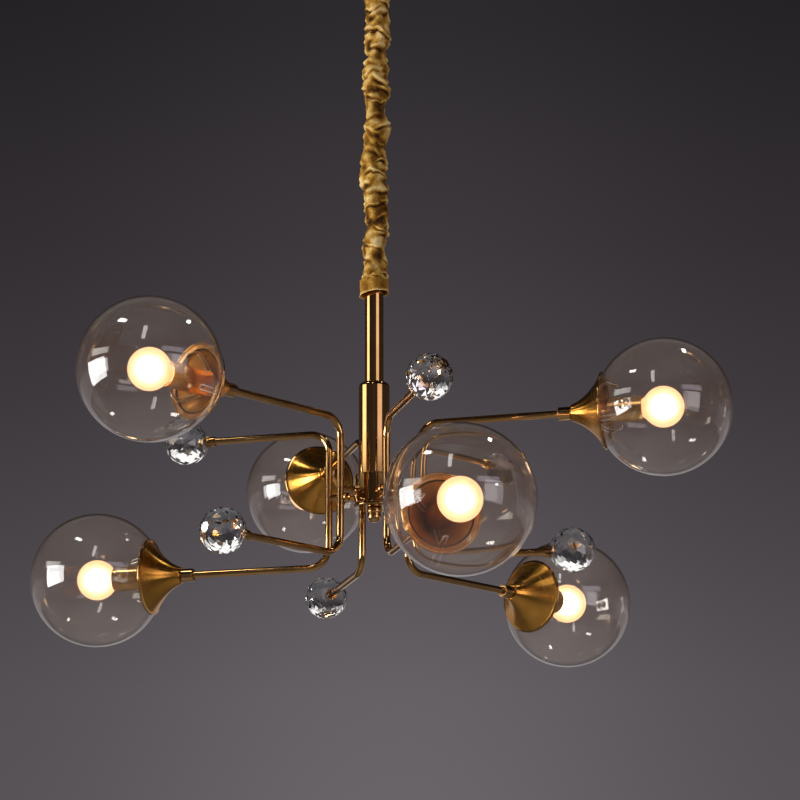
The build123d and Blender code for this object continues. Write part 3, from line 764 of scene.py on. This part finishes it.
def gathered(turn, height, length):
    """Radius of the gathered cloth, and its painted light from dark to bright, mixed with random crushed
    tone.
    """
    puff = cloth_noise(turn, height, *puff_noise)
    wrinkle = cloth_noise(turn, height, *wrinkle_noise)
    crushed = cloth_noise(turn, height, *crushed_noise)
    drawn_in, nap_and_painted_light = tucks(turn, height, length)
    radius = sleeve_radius + puff_height * puff + wrinkle_height * wrinkle - drawn_in
    core = np.where(height < stem_top, stem_room, chain_room)
    by_link = smooth_step(link_room_start - link_room_blend, link_room_start, height)
    core += by_link * (link_room - core)
    # Puffs and wrinkles are lighter where they bulge out, a painted highlight, and darker where they sink
    # in, a painted shade
    nap_and_painted_light = nap_and_light_middle + tuck_painted_light * nap_and_painted_light + crushed_nap * crushed + puff_painted_light * puff + wrinkle_painted_light * wrinkle
    return np.maximum(radius, core), nap_and_painted_light


def sleeve_cloth():
    """Grid of places on the cloth from hem to mouth, the way outwards at each, and the painted light with
    its crushed tone.
    """
    length = sleeve_high.z - sleeve_low.z
    turn, height = np.meshgrid(
        np.linspace(0, 2 * pi, sleeve_turns, endpoint=False),
        np.linspace(0, length, sleeve_rows + 1),
    )
    radius, nap_and_painted_light = gathered(turn, height, length)
    waver = cloth_noise(turn, height, *waver_noise)
    cuff_edge = cuff_height * (1 + cuff_waver * waver)
    in_cuff = 1 - smooth_step(cuff_blend * cuff_edge, cuff_edge, height)
    in_mouth = smooth_step(length - mouth_height, length, height)
    radius += in_cuff * (cuff_radius + cuff_ripple * waver - radius)
    radius += mouth_share * in_mouth * (mouth_radius - radius)
    above_cuff = (height - cuff_edge - frill_rise * frill_width) / frill_width
    frill = np.exp(-(above_cuff**2)) * (frill_strength + frill_waver * waver)
    hem = np.exp(-((height / hem_width) ** 2))
    radius += frill_height * frill + hem_height * hem
    # The cuff takes its own tone; the frill and the hem get a painted highlight on their bulges
    nap_and_painted_light += in_cuff * (cuff_nap + cuff_waver_nap * waver - nap_and_painted_light) + frill_painted_highlight * frill + hem_painted_highlight * hem
    low = 1 - smooth_step(0.0, cuff_height, height)
    lean = sleeve_lean * height / length * (1 - in_mouth)
    sway = sway_reach * cloth_noise(0 * turn, height, *sway_noise) * (1 - in_cuff) * (1 - in_mouth)
    level = sleeve_low.z + height + low * cuff_tilt * (1 + np.cos(turn))
    outwards = np.stack((np.cos(turn), np.sin(turn), 0 * turn), axis=-1)
    middle = np.stack((lean + sway, sway_depth_share * sway, level), axis=-1)
    return middle + radius[..., None] * outwards, outwards, nap_and_painted_light


def sleeve_mesh(bm):
    """Outer and inner face of the cloth, closed round the hem and the mouth."""
    # Each corner keeps the velvet's painted light and crushed tone for the material
    shade = bm.verts.layers.float.new("nap_and_painted_light")
    places, outwards, nap_and_painted_light = sleeve_cloth()
    rings = []
    for inset, order in ((0.0, 1), (sleeve_thickness, -1)):
        for ring, tones in zip((places - inset * outwards)[::order], nap_and_painted_light[::order]):
            corners = [bm.verts.new(place) for place in ring]
            for corner, tone in zip(corners, tones):
                corner[shade] = tone
            rings.append(corners)
    for lower, upper in zip(rings, rings[1:] + rings[:1]):
        for step in range(sleeve_turns):
            after = (step + 1) % sleeve_turns
            bm.faces.new((lower[step], lower[after], upper[after], upper[step]))


velvet_sleeve = new_piece("gathered_sleeve", sleeve_mesh)
add_piece(velvet_sleeve, "pendant", velvet, "velvet", "velvet_sleeve")


# Stage: floor, backdrop, lights and camera

floor_height = -2.3
floor_size = 12.0
backdrop_stops = [
    (0.0, (0.15, 0.137, 0.147)),
    (0.15, (0.124, 0.111, 0.120)),
    (0.205, (0.095, 0.083, 0.091)),
    (0.27, (0.064, 0.055, 0.061)),
    (0.33, (0.045, 0.038, 0.043)),
    (0.42, (0.024, 0.022, 0.025)),
    (1.0, (0.012, 0.011, 0.012)),
]
backdrop_middle = 1.08
backdrop_sides = 0.72
backdrop_half_width = 0.18
fill_colour = (0.9, 0.93, 1.0)
fill_strength = 0.12
lamp_middle = Vector((0, 0, -0.655))

# The room: edges are turns in degrees from the camera's side, rises are heights on the unit sphere

left_wall = {
    "edges": (-95, -62),
    "rise": (0.2445, 0.37),
    "radiance": 3.2,
    "colour": (1.0, 0.97, 0.90),
}
right_wall = {
    "edges": (25, 60),
    "rise": (0.2445, 0.37),
    "radiance": 1.5,
    "colour": (0.94, 0.84, 1.0),
}
left_window = {
    "edges": (-88, -63),
    "rise": (-0.15, 0.13),
    "radiance": 15.0,
    "colour": (1.0, 1.0, 1.0),
}
right_window = {
    "edges": (34, 55),
    "rise": (-0.19, 0.19),
    "radiance": 2.4,
    "colour": (1.0, 0.93, 0.97),
}
wall_edge = 0.002
wall_side_edge = radians(3)
ceiling_rise = (0.40, 0.70)
ceiling_back = (0.85, 0.65)
ceiling_colour = (1.0, 0.98, 0.96)
ceiling_radiance = 0.15
sparkle_radiance = 1.3
low_room_rise = (0.11, 0.05)
low_room_back = (0.0, 0.2)
low_room_colour = (1.0, 0.96, 0.98)
low_room_radiance = 0.32
solid_glass_faces = 2


class WorldTree(Nodes):
    """The nodes of a world, and the sums they are made of."""

    def __init__(self, world):
        world.use_nodes = True
        super().__init__(world.node_tree)
        self.tree.nodes.clear()

    def math(self, operation, first, second):
        made = self.tree.nodes.new("ShaderNodeMath")
        made.operation = operation
        for socket, value in zip(made.inputs, (first, second)):
            if isinstance(value, (int, float)):
                socket.default_value = value
            else:
                self.link(value, socket)
        return made.outputs["Value"]

    def step(self, value, low, high):
        """0 at low, 1 at high and a smooth rise between."""
        made = self.tree.nodes.new("ShaderNodeMapRange")
        made.interpolation_type = "SMOOTHSTEP"
        made.inputs["From Min"].default_value = low
        made.inputs["From Max"].default_value = high
        self.link(value, made.inputs["Value"])
        return made.outputs["Result"]


def patch(world, first, second, colour, radiance):
    """Light from the part of the room where both shares are 1."""
    share = world.math("MULTIPLY", first, second)
    light = world.node("ShaderNodeBackground", Color=(*colour, 1))
    world.link(world.math("MULTIPLY", share, radiance), light.inputs["Strength"])
    return light.outputs["Background"]


def wall_light(world, turn, rise, wall):
    """A pale wall or window beside the camera."""
    first, last = (radians(edge) for edge in wall["edges"])
    across = world.math(
        "MULTIPLY",
        world.step(turn, first - wall_side_edge, first + wall_side_edge),
        world.step(turn, last + wall_side_edge, last - wall_side_edge),
    )
    low, high = wall["rise"]
    along = world.math(
        "MULTIPLY",
        world.step(rise, low - wall_edge, low + wall_edge),
        world.step(rise, high + wall_edge, high - wall_edge),
    )
    return patch(world, across, along, wall["colour"], wall["radiance"])


def ceiling_light(world, split, radiance):
    """A pale ceiling, out of the camera's way, that glass shows."""
    overhead = world.step(split.outputs["Z"], *ceiling_rise)
    this_side = world.step(split.outputs["Y"], *ceiling_back)
    return patch(world, overhead, this_side, ceiling_colour, radiance)


def low_room_light(world, split):
    """The pale lower part of the room behind the lamp, below the camera's view."""
    below = world.step(split.outputs["Z"], *low_room_rise)
    behind = world.step(split.outputs["Y"], *low_room_back)
    return patch(world, below, behind, low_room_colour, low_room_radiance)


def added(world, first, second):
    """Two lights at once."""
    both = world.node("ShaderNodeAddShader")
    world.link(first, both.inputs[0])
    world.link(second, both.inputs[1])
    return both.outputs["Shader"]


def mixed(world, share, first, second):
    """First where the share is 0, second where it is 1."""
    mix = world.node("ShaderNodeMixShader")
    world.link(share, mix.inputs["Fac"])
    world.link(first, mix.inputs[1])
    world.link(second, mix.inputs[2])
    return mix.outputs["Shader"]


def backdrop(world, split):
    """A plain grey gradient, dark overhead and a little brighter in the middle."""
    seen = world.node("ShaderNodeBackground")
    world.link(world.ramp(split.outputs["Z"], backdrop_stops), seen.inputs["Color"])
    aside = world.math("ABSOLUTE", split.outputs["X"], 0)
    middle = world.step(aside, backdrop_half_width, 0.0)
    shaded = world.math("MULTIPLY", middle, backdrop_middle - backdrop_sides)
    world.link(world.math("ADD", shaded, backdrop_sides), seen.inputs["Strength"])
    return seen.outputs["Background"]


def studio_world():
    """The backdrop for the eye, with pale walls for metal and glass, and a soft fill for the rest.

    Straight through a globe the backdrop is seen as it is. What glass mirrors has windows in it too,
    and solid cut glass, which a ray crosses by two faces, bends rays to a brighter ceiling.
    """
    made = bpy.data.worlds.new("studio")
    bpy.context.scene.world = made
    world = WorldTree(made)
    place = world.node("ShaderNodeTexCoord")
    split = world.node("ShaderNodeSeparateXYZ")
    world.link(place.outputs["Generated"], split.inputs["Vector"])
    seen = backdrop(world, split)
    backwards = world.math("MULTIPLY", split.outputs["Y"], -1)
    turn = world.math("ARCTAN2", split.outputs["X"], backwards)
    walls = seen
    for wall in (left_wall, right_wall):
        walls = added(world, walls, wall_light(world, turn, split.outputs["Z"], wall))
    windows = walls
    for window in (left_window, right_window):
        windows = added(world, windows, wall_light(world, turn, split.outputs["Z"], window))
    mirrored_in_glass = added(world, windows, ceiling_light(world, split, ceiling_radiance))
    sparkle = added(world, windows, ceiling_light(world, split, sparkle_radiance))
    mirrored = added(world, walls, low_room_light(world, split))
    path = world.node("ShaderNodeLightPath")
    solid = world.math("LESS_THAN", path.outputs["Transmission Depth"], solid_glass_faces + 0.5)
    reflected = world.math("GREATER_THAN", path.outputs["Glossy Depth"], 0.5)
    straight = mixed(world, solid, seen, sparkle)
    through = mixed(world, reflected, straight, mirrored_in_glass)
    fill = world.node("ShaderNodeBackground", Color=(*fill_colour, 1), Strength=fill_strength)
    result = fill.outputs["Background"]
    for ray, shown in (
        ("Is Camera Ray", seen),
        ("Is Glossy Ray", mirrored),
        ("Is Transmission Ray", through),
    ):
        result = mixed(world, path.outputs[ray], result, shown)
    output = world.node("ShaderNodeOutputWorld")
    world.link(result, output.inputs["Surface"])


def studio_floor():
    """A plain pale floor below the hanging lamp."""

    def sheet(bm):
        half = floor_size / 2
        corners = [(-half, -half), (half, -half), (half, half), (-half, half)]
        bm.faces.new([bm.verts.new((x, y, floor_height)) for x, y in corners])

    floor = new_piece("floor", sheet, smooth=False)
    grey = plain("floor_grey", (0.62, 0.6, 0.61), 0.7, speckle=0.02, scale=20.0)
    floor.data.materials.append(grey)


def softbox(name, place, size, radiance, colour=(1, 1, 1), through_glass=True):
    """An area light that faces the lamp. Radiance is how bright its face looks, and a light that isn't
    there through glass has a window in the room to stand for it."""
    light = bpy.data.lights.new(name, "AREA")
    light.shape = "RECTANGLE"
    light.size, light.size_y = size
    light.energy = radiance * pi * size[0] * size[1]
    light.color = colour
    lamp = bpy.data.objects.new(name, light)
    lamp.visible_transmission = through_glass
    lamp.location = place
    lamp.rotation_euler = (lamp_middle - Vector(place)).to_track_quat("-Z", "Y").to_euler()
    bpy.context.scene.collection.objects.link(lamp)


def photo_camera():
    """Camera at the photograph's place, angle and field of view."""
    data = bpy.data.cameras.new("camera")
    data.sensor_width = sensor_millimetres
    data.lens = sensor_millimetres * photo_focal_pixels / photo_pixels
    data.clip_end = 100
    camera = bpy.data.objects.new("camera", data)
    camera.location = camera_place
    camera.rotation_euler = (pi / 2 + camera_pitch, camera_roll, 0)
    bpy.context.scene.collection.objects.link(camera)
    bpy.context.scene.camera = camera


studio_world()
studio_floor()
softbox("key_left", (-1.45, -0.39, -0.66), (0.8, 0.56), 15.0, through_glass=False)
softbox(
    "fill_right",
    (1.54, -1.56, -0.68),
    (1.0, 1.0),
    2.4,
    colour=(1.0, 0.93, 0.97),
    through_glass=False,
)
softbox("strip_front", (-0.32, -1.5, 0.58), (0.16, 0.7), 4.5)
softbox("top_left", (-1.1, -0.6, 0.97), (0.4, 0.16), 16.0)
softbox("top_right", (1.0, 0.2, 1.2), (0.35, 0.12), 14.0)
photo_camera()
bpy.context.scene.view_settings.view_transform = "Standard"
